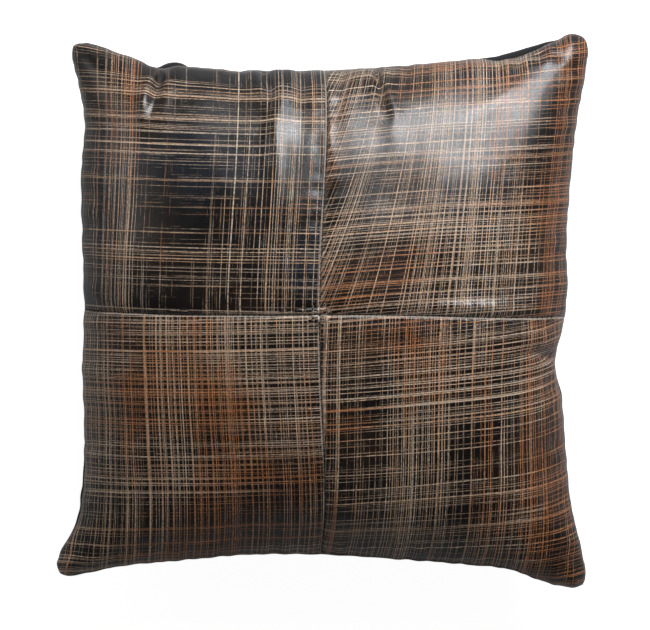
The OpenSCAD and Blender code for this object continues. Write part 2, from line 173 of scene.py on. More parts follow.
def curve(points, t):
    """A smooth curve through a few points, read at t."""
    p = np.array(points, float) * MM
    x, y = p[:, 0], p[:, 1]
    slope = np.gradient(y, x)
    k = np.clip(np.searchsorted(x, t) - 1, 0, len(x) - 2)
    w = x[k + 1] - x[k]
    f = (t - x[k]) / w
    return ((2 * f**3 - 3 * f**2 + 1) * y[k] + (f**3 - 2 * f**2 + f) * w * slope[k]
            + (3 * f**2 - 2 * f**3) * y[k + 1] + (f**3 - f**2) * w * slope[k + 1])


def tuck(side, along):
    """How far the seam lies inside the outline at a place on a side."""
    depth = np.zeros(np.shape(along))
    for name, middle, half, more in TUCKS:
        if name == side:
            f = np.clip(1 - ((along / MM - middle) / half) ** 2, 0, 1)
            depth = depth + more * f
    return depth * MM


def side_curve(side, s):
    """The edge seam along one side, at s from -1 to 1, with its ends rounded at the tips."""
    first, last = OUTLINE[side][0][0] * MM, OUTLINE[side][-1][0] * MM
    middle = SEAM_END[side] * MM
    along = middle + s * (last - first) / 2 + s**2 * ((last + first) / 2 - middle)
    out = curve(OUTLINE[side], along)
    ruffle = 0.45 * MM * waves(along / (13 * MM), 31 + len(side))
    out = out - np.sign(out) * (tuck(side, along) + ruffle * np.clip((1 - s**2) * 6, 0, 1))
    flat_side = side in ("top", "bottom")
    points = np.stack([along, out] if flat_side else [out, along], -1)
    for end in (0, -1):
        tip = np.array(OUTLINE[side][end], float) * MM
        tip = tip if flat_side else tip[::-1]
        tip = tip - np.sign(tip) * MM
        # Meet the next side at the tip, then round it
        gap = np.abs(points - tip).max(-1)
        points = points + (tip - points[end]) * (np.clip(1 - gap / (30 * MM), 0, 1) ** 2)[:, None]
        gap = np.abs(points - tip).max(-1)
        near = np.clip(1 - gap / (CORNER_R * MM), 0, 1)
        turn = near * math.pi / 4
        inward = -np.sign(tip)
        shift = (1 - np.cos(turn)) * CORNER_R * MM
        slide = CORNER_R * MM * (1 - np.sin(turn)) - gap
        both = (0, 1) if flat_side else (1, 0)
        points[:, both[1]] += np.where(near > 0, inward[both[1]] * shift, 0)
        points[:, both[0]] += np.where(near > 0, inward[both[0]] * slide, 0)
    return points


def mouth(x, away):
    """How far the zip's mouth parts an edge, at x and a distance in from the edge."""
    close = np.clip((MOUTH_END - np.abs(x)) / (20 * MM), 0, 1)
    return MOUTH * close**2 * (3 - 2 * close) * bell(away, 16 * MM)


def long_line(points, s):
    """The long sweep of a side, without its small bumps: a low curve with the same ends."""
    ends = points[:1] + (points[-1:] - points[:1]) * ((s + 1) / 2)[:, None]
    shapes = np.stack([(1 - s**2) * s**k for k in range(4)], -1)
    return ends + shapes @ np.linalg.lstsq(shapes, points - ends, rcond=None)[0]


def plan(u, v):
    """Blends the four sides into places in plan, for grids of u and v from -1 to 1."""
    us, vs = u[:, 0], v[0]
    sides = [side_curve("left", vs)[None], side_curve("right", vs)[None],
             side_curve("bottom", us)[:, None], side_curve("top", us)[:, None]]
    left, right = long_line(sides[0][0], vs)[None], long_line(sides[1][0], vs)[None]
    low, high = long_line(sides[2][:, 0], us)[:, None], long_line(sides[3][:, 0], us)[:, None]
    a, b = ((u + 1) / 2)[..., None], ((v + 1) / 2)[..., None]
    p = ((1 - a) * left + a * right + (1 - b) * low + b * high
         - (1 - a) * (1 - b) * left[:, :1] - a * (1 - b) * right[:, :1]
         - (1 - a) * b * left[:, -1:] - a * b * right[:, -1:])
    # A side's small bumps die out within a few centimetres of it
    for side, smooth, away in zip(sides, (left, right, low, high), (a, 1 - a, b, 1 - b)):
        p = p + (side - smooth) * bell(away, 0.07)
    return p


STEPS = 88                  # grid steps across the cover in the cloth solver
BEND = 0.62 * math.pi / 2   # how much closer together they are near the edges
FRAMES = 22                 # frames of the cloth solver
FULL = 0.92                 # share of its height at which the cover starts
REST_PRESS = 8 * MM         # how far the back would sink through the floor


def spread(k):
    """Places from -1 to 1 of the solver's grid lines, closer together near the edges."""
    return np.sin(np.asarray(k) * BEND) / math.sin(BEND)


def gathered(s):
    """The grid line, from 0 to STEPS, at a place from -1 to 1."""
    return (np.arcsin(np.clip(s, -1, 1) * math.sin(BEND)) / BEND + 1) / 2 * STEPS


def linked(name, data):
    """A new object in the scene."""
    made = bpy.data.objects.new(name, data)
    bpy.context.scene.collection.objects.link(made)
    return made


def solve_cover(front, back, flat):
    """Lets the cloth solver settle the two skins from the flat cut, their edge held."""
    n = STEPS + 1
    grid = np.arange(n * n).reshape(n, n)
    edge = np.zeros((n, n), bool)
    edge[[0, -1]] = edge[:, [0, -1]] = True
    under = np.where(edge, grid, 0)
    under[~edge] = n * n + np.arange((~edge).sum())
    places = np.concatenate([front.reshape(-1, 3), back[~edge]])
    cut = np.concatenate([flat.reshape(-1, 3), flat[~edge]])
    quads = [(g[:-1, :-1], g[1:, :-1], g[1:, 1:], g[:-1, 1:]) for g in (grid, under.T)]
    faces = np.concatenate([np.stack([c.ravel() for c in q], -1) for q in quads])
    mesh = bpy.data.meshes.new("cover_solver")
    mesh.from_pydata(places.tolist(), [], faces.tolist())
    cover = linked("cover_solver", mesh)
    cover.shape_key_add(name="start")
    key = cover.shape_key_add(name="cut")
    key.data.foreach_set("co", cut.ravel())
    key.value = 0
    held = cover.vertex_groups.new(name="held")
    held.add([int(k) for k in grid[edge]], 1.0, "REPLACE")
    cloth = cover.modifiers.new("Cloth", "CLOTH")
    c = cloth.settings
    c.rest_shape_key, c.vertex_group_mass = key, "held"
    c.quality, c.mass, c.air_damping = 6, 0.3, 5
    c.tension_stiffness, c.compression_stiffness, c.shear_stiffness = 40, 14, 5
    c.tension_damping = c.compression_damping = 15
    c.bending_stiffness, c.bending_damping = 5, 2
    c.use_pressure, c.uniform_pressure_force = True, 5
    c.effector_weights.gravity = 0
    cloth.collision_settings.use_collision = False
    scene = bpy.context.scene
    for number in range(1, FRAMES + 1):
        scene.frame_set(number)
    solved = cover.evaluated_get(bpy.context.evaluated_depsgraph_get()).to_mesh()
    out = np.empty(len(solved.vertices) * 3, np.float32)
    solved.vertices.foreach_get("co", out)
    out = out.reshape(-1, 3).astype(float)
    bpy.data.objects.remove(cover)
    scene.frame_set(1)
    return out[grid], out[under]


SKINS = {}


def shape():
    """The front and back skins as grids of points, worked out once."""
    if SKINS:
        return SKINS
    k = np.linspace(-1, 1, STEPS + 1)
    u, v = np.meshgrid(spread(k), spread(k), indexing="ij")
    p = plan(u, v)
    dome = np.clip((1 - u**2) * (1 - v**2), 0, 1) ** 0.425
    drop = SEAM_Z + REST_PRESS
    skins = [np.concatenate([p, (SEAM_Z + h * dome)[..., None]], -1)
             for h in (CROWN * FULL, -drop * FULL)]
    flat = np.stack([u * HALF_FLAT[0], v * HALF_FLAT[1], np.full_like(u, SEAM_Z)], -1)
    skins = solve_cover(*skins, flat)
    front, back = skins
    front[..., 2] = SEAM_Z + (front[..., 2] - SEAM_Z) * CROWN / (front[..., 2].max() - SEAM_Z)
    back[..., 2] = SEAM_Z - (SEAM_Z - back[..., 2]) * drop / (SEAM_Z - back[..., 2].min())
    # The floor presses the back to a flat patch
    back[..., 2] = np.maximum((back[..., 2] + np.hypot(back[..., 2], 4 * MM)) / 2
                               - 0.6 * MM * bell(back[..., 2], 12 * MM), 0)
    SKINS.update(front=front, back=back)
    return SKINS


def weights(s):
    """Cubic spline weights that read the solver's grid at places s."""
    x = gathered(s)
    k = np.clip(np.floor(x).astype(int), 0, STEPS - 1)
    f = x - k
    w = np.zeros((len(x), STEPS + 3))
    rows = np.arange(len(x))
    for j, c in enumerate(((1 - f)**3, 3*f**3 - 6*f**2 + 4, -3*f**3 + 3*f**2 + 3*f + 1, f**3)):
        w[rows, k + j] += c / 6
    # Points beyond each end carry the skin straight on
    w[:, 1] += 2 * w[:, 0]
    w[:, 2] -= w[:, 0]
    w[:, -2] += 2 * w[:, -1]
    w[:, -3] -= w[:, -1]
    return w[:, 1:-1]


def read(skin, su, sv):
    """Places on a skin at every pair of su and sv."""
    along = np.tensordot(weights(su), skin, (1, 0))
    return np.einsum("bj,ajk->abk", weights(sv), along, optimize=True)


def waves(x, seed, count=5):
    """A smooth random line: a sum of waves, from about -1 to 1, for x in wavelengths."""
    rng = np.random.default_rng(seed)
    parts = [np.sin(2 * math.pi * (x * f + a)) for f, a in
             zip(rng.uniform(0.5, 1.9, count), rng.uniform(0, 1, count))]
    return sum(parts) / math.sqrt(count)


def crease_height(p):
    """Rise of the surface at places p that the creases give."""
    x, y = p[..., 0] / MM, p[..., 1] / MM
    h = np.zeros(x.shape)
    for start, end, depth, width, left, right in CREASES:
        d = np.subtract(end, start)
        length = math.hypot(*d)
        t = ((x - start[0]) * d[0] + (y - start[1]) * d[1]) / length**2
        away = ((y - start[1]) * d[0] - (x - start[0]) * d[1]) / length
        away = away + 1.2 * np.sin(t * 5 + start[0])
        fade = np.clip(1 - t, 0, 1) ** 1.5 * np.clip(1.25 + t * 4, 0, 1)
        spread_w = width * (0.75 + 0.5 * np.clip(t, 0, 1))
        h += fade * (-depth * np.exp(-(away / spread_w) ** 2)
                     + left * np.exp(-((away - 2 * width) / (1.5 * width)) ** 2)
                     + right * np.exp(-((away + 2 * width) / (1.5 * width)) ** 2))
    for mx, my, wide, long, turn, rise in SWELLS:
        c, k = math.cos(math.radians(turn)), math.sin(math.radians(turn))
        a, b = (x - mx) * c + (y - my) * k, (y - my) * c - (x - mx) * k
        h += rise * np.exp(-(a / wide) ** 2 - (b / long) ** 2)
    return h * MM


def skin_at(skin, su, sv):
    """Places on a skin and its normals, for the front outward and for the back inward."""
    step = 0.004
    p = read(skin, su, sv)
    run = read(skin, np.minimum(su + step, 1), sv) - read(skin, np.maximum(su - step, -1), sv)
    rise = read(skin, su, np.minimum(sv + step, 1)) - read(skin, su, np.maximum(sv - step, -1))
    n = np.cross(run, rise)
    n /= np.maximum(np.linalg.norm(n, axis=-1, keepdims=True), 1e-12)
    return p, n


def bell(d, width):
    """1 at d = 0, dying out smoothly over a width."""
    return np.exp(-(d / width) ** 2)


def dents(p, seed, length=0.07):
    """Soft dents in a padded surface: crossing waves, from about -1 to 1."""
    rng = np.random.default_rng(seed)
    total = 0
    for _ in range(7):
        turn, size, start = rng.uniform(0, math.pi), rng.uniform(0.7, 1.6), rng.uniform(0, 6)
        along = p[..., 0] * math.cos(turn) + p[..., 1] * math.sin(turn)
        total = total + np.sin(2 * math.pi * along / (length * size) + start)
    return total / math.sqrt(7)


EDGE_ROLL = 3 * MM      # how far in from the edge seam a skin rolls out most
EDGE_CALM = 6 * MM      # creases and dents die out this near to the edge seam
SEWN_GAP = 0.2 * MM     # from the seam's height to an edge sewn in it


def edge_swell(away, rise):
    """How far a skin swells out beside the edge seam: away is the distance from it."""
    return rise * (away / EDGE_ROLL) * np.exp(1 - away / EDGE_ROLL)


def edge_pucker(away, along, rise, seed):
    """The gathers that run in from the edge seam."""
    return rise * waves(along / (30 * MM), seed) * bell(away - 12 * MM, 9 * MM)


def seam_relief(away, along, groove, raised, pitch, seed):
    """Rise of a panel beside a cross seam."""
    h = -groove * bell(away, 1.4 * MM)
    if raised:
        h = h + 0.3 * MM * bell(away - 2 * MM, 1.4 * MM) - 1 * MM * bell(away, 9 * MM)
    else:
        h = h - 1.6 * MM * bell(away, 7.5 * MM)
    pull = 0.6 + 0.4 * waves(along / (30 * MM), seed + 1)
    h = h - 0.16 * MM * pull * np.cos(2 * math.pi * along / pitch) * bell(away, 2.6 * MM)
    ripple = waves(along / (21 * MM), seed) * bell(away, 14 * MM) * (1 - bell(away, 4 * MM))
    return h + 0.28 * MM * ripple


def mesh_of(name, p, flip, maps=()):
    """A sheet through a grid of points, with its UV maps as (name, grid of u and v)."""
    n, m = p.shape[:2]
    g = np.arange(n * m).reshape(n, m)
    q = [g[:-1, :-1], g[1:, :-1], g[1:, 1:], g[:-1, 1:]]
    faces = np.stack([c.ravel() for c in (q[::-1] if flip else q)], -1)
    mesh = bpy.data.meshes.new(name)
    mesh.from_pydata(p.reshape(-1, 3).tolist(), [], faces.tolist())
    for title, values in maps:
        layer = mesh.uv_layers.new(name=title)
        layer.data.foreach_set("uv", values.reshape(-1, 2)[faces.ravel()].ravel())
    mesh.shade_smooth()
    return linked(name, mesh)


def only(piece):
    bpy.ops.object.select_all(action="DESELECT")
    piece.select_set(True)
    bpy.context.view_layer.objects.active = piece


def thicken(piece, thickness):
    """Gives a sheet its thickness on the inside."""
    wall = piece.modifiers.new("Thickness", "SOLIDIFY")
    wall.thickness, wall.offset = thickness, -1
    only(piece)
    bpy.ops.object.modifier_apply(modifier=wall.name)


def settle(piece, material, stands_for=(), body=BODY):
    """Gives a piece its material, ties it to its body, and hides the nodes it stands for."""
    piece.data.materials.clear()
    piece.data.materials.append(material)
    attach(piece, body)
    if stands_for:
        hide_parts(*stands_for)
    return piece


def spaced(length, grid):
    """Distances from 0 to length, closer together at both ends."""
    start = np.array([0, 0.35, 0.7, 1.1, 1.6, 2.2, 3.0, 3.9, 5.0]) * MM
    end = length - np.array([2.6, 1.6, 0.8, 0.3, 0]) * MM
    count = max(2, int(round((end[0] - start[-1]) / grid)))
    return np.concatenate([start, np.linspace(start[-1], end[0], count + 1)[1:-1], end])


def sewn_in(face, p, away, turned, side):
    """Turns the allowances in behind the edge seam; side is 1 for the front, -1 for the back."""
    face[turned] = p[turned] * (1, 1, 0) + (0, 0, SEAM_Z + side * TURNED_GAP)
    face[(away < 1e-9) & ~turned, 2] = SEAM_Z + side * SEWN_GAP


def run_along(p, axis, flat):
    """Distance over the puffed surface along one axis, for rows at these flat distances."""
    step = np.linalg.norm(np.diff(p, axis=axis), axis=-1)
    step = np.moveaxis(step, axis, 0)[2:-2]
    run = np.concatenate([np.zeros_like(step[:1]), np.cumsum(step, axis=0)])
    turned = [run[-1] + (end - flat[-3]) for end in flat[-2:]]
    tucked = [np.full_like(run[0], start) for start in flat[:2]]
    return np.moveaxis(np.stack(tucked + list(run) + turned), 0, axis)


def brush_map(qx, qy, x, y):
    """Places as the brush saw them: each panel was cut from the hide at its own slant."""
    if (qx, qy) == (1, 1):
        lean = 0.34 * np.exp(-(x / 0.075) ** 2) + 0.03
        return x - lean * y, y - 0.10 * x + 0.12 * x**2
    if (qx, qy) == (1, -1):
        return x - 0.05 * y, y - 0.065 * x - 0.25 * x**2
    if (qx, qy) == (-1, -1):
        return x + 0.01 * y, y - 0.025 * x
    return x - 0.01 * y, y + 0.01 * x


PANELS = {"front_upper_left": (-1, 1), "front_upper_right": (1, 1),
          "front_lower_left": (-1, -1), "front_lower_right": (1, -1)}


def leather_panel(name, qx, qy, s):
    """One panel of the front: its face, and the allowances turned in behind its edges."""
    skin = shape()["front"]
    rows = []
    for reach in HALF_FLAT:
        main = spaced(reach, s.grid)
        rows.append(np.concatenate([[TURN_IN, 2 * MM], main,
                                    [reach - 1.2 * MM, reach - TURN_IN]]))
    du, dv = rows
    p, n = skin_at(skin, qx * du / HALF_FLAT[0], qy * dv / HALF_FLAT[1])
    u, v = np.meshgrid(du, dv, indexing="ij")
    x, y = qx * u, qy * v
    eu, ev = HALF_FLAT[0] - u, HALF_FLAT[1] - v
    away = np.minimum(eu, ev)
    h = seam_relief(u, y, s.groove, qx < 0, s.stitch, 3) * (1 - bell(ev, 4 * MM))
    h = h + seam_relief(v, x, s.groove, qy < 0, s.stitch, 8) * (1 - bell(eu, 4 * MM))
    inner = 1 - bell(away, EDGE_CALM)
    h = h + inner * (crease_height(p) + 0.5 * MM * dents(p, 21))
    side = np.where(eu < ev, y, x)
    h = h + edge_pucker(away, side, 0.5 * MM, 5 + qx + 2 * qy)
    h = h + edge_swell(away, 1.0 * MM)
    face = p + n * h[..., None]
    # Turned behind the cross seams, and in along the edge seam
    under = np.zeros(u.shape, bool)
    under[:2] = under[:, :2] = True
    face[under] = (p - n * (s.groove + SEWN_GAP))[under]
    turned = np.zeros(u.shape, bool)
    turned[-2:] = turned[:, -2:] = True
    sewn_in(face, p, away, turned, 1)
    if qy < 0:
        face[..., 2] += mouth(p[..., 0], np.where(turned, 0, ev))
    along = [run_along(p, 0, du), run_along(p, 1, dv)]
    bx, by = brush_map(qx, qy, qx * along[0], qy * along[1])
    maps = [("brush", np.stack([bx, by], -1)), ("panel", np.stack([u, v], -1))]
    made = mesh_of(name, face, qx * qy < 0, maps)
    thicken(made, s.leather)
    return made


class PILLOW_OT_front_panels(bpy.types.Operator):
    """Builds the four leather panels of the front"""

    bl_idname = "pillow.front_panels"
    bl_label = "Front Panels"

    def execute(self, context):
        s = context.scene.pillow
        for name, (qx, qy) in PANELS.items():
            piece = leather_panel("leather_" + name[6:], qx, qy, s)
            settle(piece, leather("leather_" + name[6:], s, name),
                   [name])
        return {"FINISHED"}


class PILLOW_OT_back_panel(bpy.types.Operator):
    """Builds the plain back, pressed flat where the pillow rests"""

    bl_idname = "pillow.back_panel"
    bl_label = "Back Panel"

    def execute(self, context):
        s = context.scene.pillow
        rows = []
        for reach in HALF_FLAT:
            main = spaced(reach, 2.2 * s.grid)[8:]
            main = np.concatenate([[0], main])
            main = np.concatenate([-main[:0:-1], main])
            ends = reach - np.array([1.2 * MM, TURN_IN])
            rows.append(np.concatenate([-ends[::-1], main, ends]) / reach)
        p, n = skin_at(shape()["back"], *rows)
        n = -n
        u, v = np.meshgrid(*rows, indexing="ij")
        eu, ev = (1 - np.abs(u)) * HALF_FLAT[0], (1 - np.abs(v)) * HALF_FLAT[1]
        away = np.minimum(eu, ev)
        x, y = u * HALF_FLAT[0], v * HALF_FLAT[1]
        # Where the front is tucked in, the back stands out beyond it
        beyond = np.where(eu < ev, np.where(u < 0, tuck("left", y), tuck("right", y)),
                          np.where(v < 0, tuck("bottom", x), tuck("top", x)))
        side = np.where(eu < ev, y, x)
        lift = np.clip(p[..., 2] / 0.02, 0, 1)
        h = edge_swell(away, 1.3 * beyond + 1.0 * MM)
        h = h + lift * (edge_pucker(away, side, 0.6 * MM, 15)
                        + 0.5 * MM * dents(p, 33) * (1 - bell(away, EDGE_CALM)))
        face = p + n * h[..., None]
        face[..., 2] = np.maximum(face[..., 2], 0)
        turned = np.zeros(u.shape, bool)
        turned[[0, 1, -2, -1]] = turned[:, [0, 1, -2, -1]] = True
        sewn_in(face, p, away, turned, -1)
        face[..., 2] -= np.where(v < 0, mouth(p[..., 0], np.where(turned, 0, ev)), 0)
        face[..., 2] = np.maximum(face[..., 2], 0)
        maps = [("cloth", np.stack([x, y], -1))]
        piece = mesh_of("back_cloth", face, True, maps)
        thicken(piece, s.cloth)
        settle(piece, cloth("back_cloth", (0.010, 0.010, 0.011), 0.9 * MM, 0.85),
               ["back_panel"])
        return {"FINISHED"}


# ---- Thread, label and zip ----

def template(add, stretch, **sizes):
    """The mesh of one small piece: a primitive turned to lie along X, then stretched."""
    bpy.ops.object.select_all(action="DESELECT")
    add(rotation=(0, math.pi / 2, 0), **sizes)
    bpy.ops.object.transform_apply(location=False, rotation=True, scale=False)
    made = bpy.context.active_object
    bpy.ops.object.mode_set(mode="EDIT")
    bpy.ops.mesh.select_all(action="SELECT")
    bpy.ops.transform.resize(value=stretch, center_override=(0, 0, 0))
    bpy.ops.object.mode_set(mode="OBJECT")
    mesh = made.data
    mesh.transform(made.matrix_world)
    bpy.data.objects.remove(made)
    return mesh


def copies(name, one, frames):
    """One piece of many copies of a small mesh, each placed by a matrix."""
    bm = bmesh.new()
    for m in frames:
        copy = one.copy()
        copy.transform(m)
        bm.from_mesh(copy)
        bpy.data.meshes.remove(copy)
    mesh = bpy.data.meshes.new(name)
    bm.to_mesh(mesh)
    bm.free()
    bpy.data.meshes.remove(one)
    mesh.shade_smooth()
    return linked(name, mesh)


def facing(place, along, up):
    """A matrix at a place, with its X along and its Z as near to up as can be."""
    x = Vector(along).normalized()
    y = Vector(up).cross(x).normalized()
    m = Matrix((x, y, x.cross(y))).transposed().to_4x4()
    m.translation = Vector(place)
    return m


def stitch(length, thickness):
    """One stitch of thread, fat in the middle and drawn in at its ends."""
    return template(bpy.ops.mesh.primitive_uv_sphere_add, (length / thickness, 1, 1),
                    segments=8, ring_count=7, radius=thickness / 2)


DARK_THREAD = (0.020, 0.016, 0.013)


def seam_stitches(name, s, across_x, low, high):
    """Stitches at the foot of a cross seam's groove, from side to side."""
    reach = HALF_FLAT[int(across_x)]
    along = np.arange(low * reach, high * reach, s.stitch)
    zero = np.array([0.0])
    su, sv = (zero, along / reach) if across_x else (along / reach, zero)
    p, n = skin_at(shape()["front"], su, sv)
    p, n = p.reshape(-1, 3), n.reshape(-1, 3)
    side = (1, 0, 0) if across_x else (0, 1, 0)
    frames = [facing(a - b * (s.groove + 0.1 * MM), side, b) for a, b in zip(p, n)]
    return copies(name, stitch(2.6 * MM, s.thread), frames)


def edge_stitches(name, s, side, keep):
    """Stitches down through both allowances, just inside the edge seam."""
    t = np.arange(-0.92, 0.92, s.stitch / HALF_OF[side])
    t = t[[keep(a * HALF_OF[side]) for a in t]]
    points = side_curve(side, t)
    inward = np.array({"top": (0, -1), "bottom": (0, 1), "left": (1, 0), "right": (-1, 0)}[side])
    frames = [facing((*(q + inward * 2.8 * MM), SEAM_Z), (0, 0, 1), (1, 0, 0)) for q in points]
    return copies(name, stitch(4.2 * MM, s.thread), frames)


class PILLOW_OT_thread(bpy.types.Operator):
    """Sews the cross seams and the edge seams"""

    bl_idname = "pillow.thread"
    bl_label = "Thread"

    def execute(self, context):
        s = context.scene.pillow
        look = cloth("dark_thread", DARK_THREAD, 0.3 * MM, 0.6)
        rows = {"seam_thread_upper": (True, 0.03, 0.95), "seam_thread_lower": (True, -0.95, -0.03),
                "seam_thread_middle": (False, -0.95, 0.95)}
        for name, (across_x, low, high) in rows.items():
            piece = seam_stitches("sewn_" + name, s, across_x, low, high)
            settle(piece, look, [name])
        zip_end = MOUTH_END + 1.0 * MM
        for side in OUTLINE:
            keep = (lambda a: abs(a) > zip_end) if side == "bottom" else (lambda a: True)
            piece = edge_stitches("sewn_edge_" + side, s, side, keep)
            settle(piece, look, ["edge_thread_" + side])
        return {"FINISHED"}


class PILLOW_OT_care_label(bpy.types.Operator):
    """Hangs the blank label from the left seam, inside"""

    bl_idname = "pillow.care_label"
    bl_label = "Care Label"

    def execute(self, context):
        low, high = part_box("care_label")
        t = np.linspace(low.y, high.y, 9) / HALF_H
        edge = side_curve("left", t)
        # Down the label: in from the seam, then over a soft bend and down
        inward = np.array([2, 5, 8, 9.0, 9.6, 10.0, 10.3, 10.6]) * MM
        down = np.array([0, 0, 0, 0.6, 2.5, 7, 12, 17]) * MM
        p = np.zeros((len(inward), len(t), 3))
        p[..., 0] = edge[:, 0][None] + inward[:, None]
        p[..., 1] = edge[:, 1][None]
        p[..., 2] = SEAM_Z - down[:, None]
        p[..., 0] += 0.4 * MM * np.sin(np.linspace(0, 5, len(t)))[None] * (down[:, None] > 0)
        maps = [("cloth", p[..., 1:])]
        piece = mesh_of("hanging_label", p, False, maps)
        thicken(piece, 0.25 * MM)
        settle(piece, cloth("label_cloth", (0.72, 0.70, 0.66), 0.4 * MM, 0.55),
               ["care_label"])
        return {"FINISHED"}


# One turn of a coil, before it is stretched: its radius, its wire's, and its span
TURN_R, TURN_WIRE = 0.5, 0.17
TURN_SPAN = 2 * (TURN_R + TURN_WIRE)
COIL_T = 1.8 * MM


def zip_pivot():
    """The centre of the zip's arc."""
    return Vector(next(j for j in frame["joints"] if j["name"] == "zip_slider_run")["pos_m"])


def along_zip(node, step, inset, z):
    """Matrices along a zip row, inset from its outer side."""
    pivot, high = zip_pivot(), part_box(node)[1]
    radius = high.y - pivot.y - inset
    reach = math.asin(high.x / radius) - step / radius / 2
    count = int(2 * reach * radius / step) + 1
    return [facing((pivot.x + radius * math.sin(a), pivot.y + radius * math.cos(a), z),
                   (math.cos(a), -math.sin(a), 0), (0, 0, 1))
            for a in np.linspace(-reach, reach, count)]


def bottom_edge(x):
    """The edge seam's y along the bottom side, at places x."""
    points = side_curve("bottom", np.linspace(-1, 1, 241))
    return np.interp(x, points[:, 0], points[:, 1])


def zip_tape(node, side):
    """Tape that lies on the turned edge and folds down to the chain."""
    pivot = zip_pivot()
    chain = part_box(node.replace("tape", "coil"))[1].y - pivot.y - COIL_T / 2
    x = np.linspace(-TAPE_END, TAPE_END, 141)
    chain_y = pivot.y + np.sqrt(chain**2 - (x - pivot.x) ** 2)
    edge_y = bottom_edge(x) + 1.8 * MM
    # The tape's tails follow the lips of the mouth down toward its ends
    open_by = mouth(x, 0.0) / MOUTH
    allowance = abs((TAPE_HIGH.z if side > 0 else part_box(node)[0].z) - SEAM_Z) - TAPE_T - MOUTH
    shelf = open_by * MOUTH + allowance
    low = 2.6 * MM * np.clip((TAPE_HIGH.x + 4 * MM - np.abs(x)) / (6 * MM), 0.04, 1)
    p = np.zeros((10, len(x), 3))
    p[..., 0] = x
    p[:5, :, 1] = chain_y
    p[4, :, 1] -= 0.7 * MM
    p[:5, :, 2] = [low + (shelf - low) * share for share in (0, 0.25, 0.5, 0.8, 1)]
    for k, share in enumerate(np.linspace(0.2, 1, 5)):
        p[5 + k, :, 1] = p[4, :, 1] + share * (edge_y - p[4, :, 1])
        p[5 + k, :, 2] = shelf
    p[..., 1] = np.maximum(p[..., 1], edge_y)
    p[..., 2] = SEAM_Z + side * (p[..., 2] + TAPE_T * (np.arange(10)[:, None] > 3))
    maps = [("cloth", p[..., :2])]
    piece = mesh_of("sewn_" + node, p, side > 0, maps)
    thicken(piece, TAPE_T)
    return piece


class PILLOW_OT_zip(bpy.types.Operator):
    """Winds the two coils of the zip's chain and sews its tape to the mouth"""

    bl_idname = "pillow.zip"
    bl_label = "Zip"

    def execute(self, context):
        s = context.scene.pillow
        nylon = plastic("zip_nylon", (0.026, 0.023, 0.022))
        tape = cloth("zip_tape", (0.014, 0.012, 0.012), 0.6 * MM, 0.8)
        look = cloth("zip_thread", DARK_THREAD, 0.3 * MM, 0.6)
        for end, side in (("front", 1), ("back", -1)):
            low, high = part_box("zip_coil_" + end)
            thick, wide = COIL_T, high.z - low.z
            turn = template(bpy.ops.mesh.primitive_torus_add,
                            (s.tooth * 2.1, thick / TURN_SPAN, wide / TURN_SPAN),
                            major_segments=10, minor_segments=4,
                            major_radius=TURN_R, minor_radius=TURN_WIRE)
            frames = along_zip("zip_coil_" + end, s.tooth, thick / 2, (low.z + high.z) / 2)
            settle(copies("wound_" + end, turn, frames), nylon, ["zip_coil_" + end])
            settle(zip_tape("zip_tape_" + end, side), tape, ["zip_tape_" + end])
            low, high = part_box("zip_thread_" + end)
            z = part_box("zip_tape_" + end)[side > 0].z + side * 0.1 * MM
            x = np.arange(-high.x, high.x, s.stitch / 2)
            frames = [facing((a, b + 3.2 * MM, z), (1, 0, 0), (0, 0, 1))
                      for a, b in zip(x, bottom_edge(x))]
            one = stitch(s.stitch * 0.46, s.thread)
            settle(copies("sewn_thread_" + end, one, frames), look,
                   ["zip_thread_" + end])
        metal = metal_look("zip_metal", (0.26, 0.24, 0.21), 0.34)
        stops = metal_look("zip_stop_metal", (0.42, 0.40, 0.37), 0.3)
        for node, look in (("zip_slider", metal), ("zip_pull", metal),
                           ("zip_top_stops", stops), ("zip_bottom_stop", stops)):
            frame["nodes"][node].data.materials.clear()
            frame["nodes"][node].data.materials.append(look)
        return {"FINISHED"}


# ---- Insert ----

def shrunk(skin, inset, rise, fall):
    """A skin drawn in from the cover: inset at the edge, and rise or fall off its height."""
    p = skin.copy()
    p[..., 0] *= 1 - inset / HALF_W
    p[..., 1] *= 1 - inset / HALF_H
    z = p[..., 2] - SEAM_Z
    p[..., 2] = SEAM_Z + np.where(z > 0, z * (1 - rise / CROWN), z)
    p[..., 2] = np.maximum(p[..., 2], fall)
    return p


CASE_IN, CASE_STITCH_IN, FILLING_IN = 14 * MM, 14.6 * MM, 16.5 * MM     # in from the edge


def inner_sheet(name, side, places, inset, rise, fall, lumps, gap):
    """One face of the insert, drawn in from the cover. lumps gives its unevenness."""
    u, v = np.meshgrid(places, places, indexing="ij")
    p = shrunk(read(shape()["front" if side > 0 else "back"], places, places),
               inset, rise, fall)
    away = np.minimum(1 - np.abs(u), 1 - np.abs(v)) * HALF_W
    p[..., 2] += side * lumps(p) * (1 - bell(away, 20 * MM)) * (p[..., 2] > 20 * MM)
    p[np.maximum(np.abs(u), np.abs(v)) > 0.9999, 2] = SEAM_Z + side * gap
    return mesh_of(name, p, side < 0, [("cloth", np.stack([u * HALF_W, v * HALF_H], -1))])


